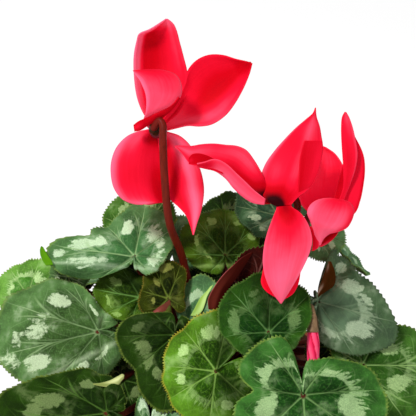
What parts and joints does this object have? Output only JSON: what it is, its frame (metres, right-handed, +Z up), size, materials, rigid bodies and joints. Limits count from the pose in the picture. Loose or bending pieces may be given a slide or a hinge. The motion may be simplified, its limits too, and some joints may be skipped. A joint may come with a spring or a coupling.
{
  "type": "potted cyclamen",
  "caption": "Flowering cyclamen with red swept-back petals and silver-marbled heart-shaped leaves, growing from a tuber in a plain clay pot.",
  "frame": {"origin": "middle of the pot's flat underside", "axes": "+Z up through the middle of the pot, -Y toward the front that the picture shows, +X to the right as seen from the front"},
  "size_m": [0.2104, 0.1858, 0.267],
  "materials": {
    "terracotta": "matt fired clay",
    "soil": "damp crumbly peat",
    "tuber": "dry corky skin",
    "leaf": "satin leaf with silver marbling",
    "stalk": "satin dark red stem",
    "petal": "velvety petal"
  },
  "bodies": {
    "root": {"pot": "terracotta", "soil": "soil", "tuber": "tuber", "leaf_stalks": "stalk", "leaf_01": "leaf", "leaf_02": "leaf", "leaf_03": "leaf", "leaf_04": "leaf", "leaf_05": "leaf", "leaf_06": "leaf", "leaf_07": "leaf", "leaf_08": "leaf", "leaf_09": "leaf", "leaf_10": "leaf", "leaf_11": "leaf", "leaf_12": "leaf", "leaf_13": "leaf", "leaf_14": "leaf", "leaf_15": "leaf", "leaf_16": "leaf", "leaf_17": "leaf", "leaf_18": "leaf", "leaf_19": "leaf", "leaf_20": "leaf", "leaf_21": "leaf", "leaf_22": "leaf", "leaf_23": "leaf", "leaf_24": "leaf", "leaf_25": "leaf", "leaf_26": "leaf", "leaf_27": "leaf", "leaf_28": "leaf", "leaf_29": "leaf", "leaf_30": "leaf", "leaf_31": "leaf", "leaf_32": "leaf", "leaf_33": "leaf", "leaf_34": "leaf", "leaf_35": "leaf", "leaf_36": "leaf", "leaf_37": "leaf", "flower_stalk_a": "stalk", "flower_stalk_b": "stalk", "flower_stalk_c": "stalk", "bud_stalk": "stalk", "bloom_a": "petal", "bloom_b": "petal", "bloom_c": "petal", "bud": "petal"}
  },
  "joints": []
}
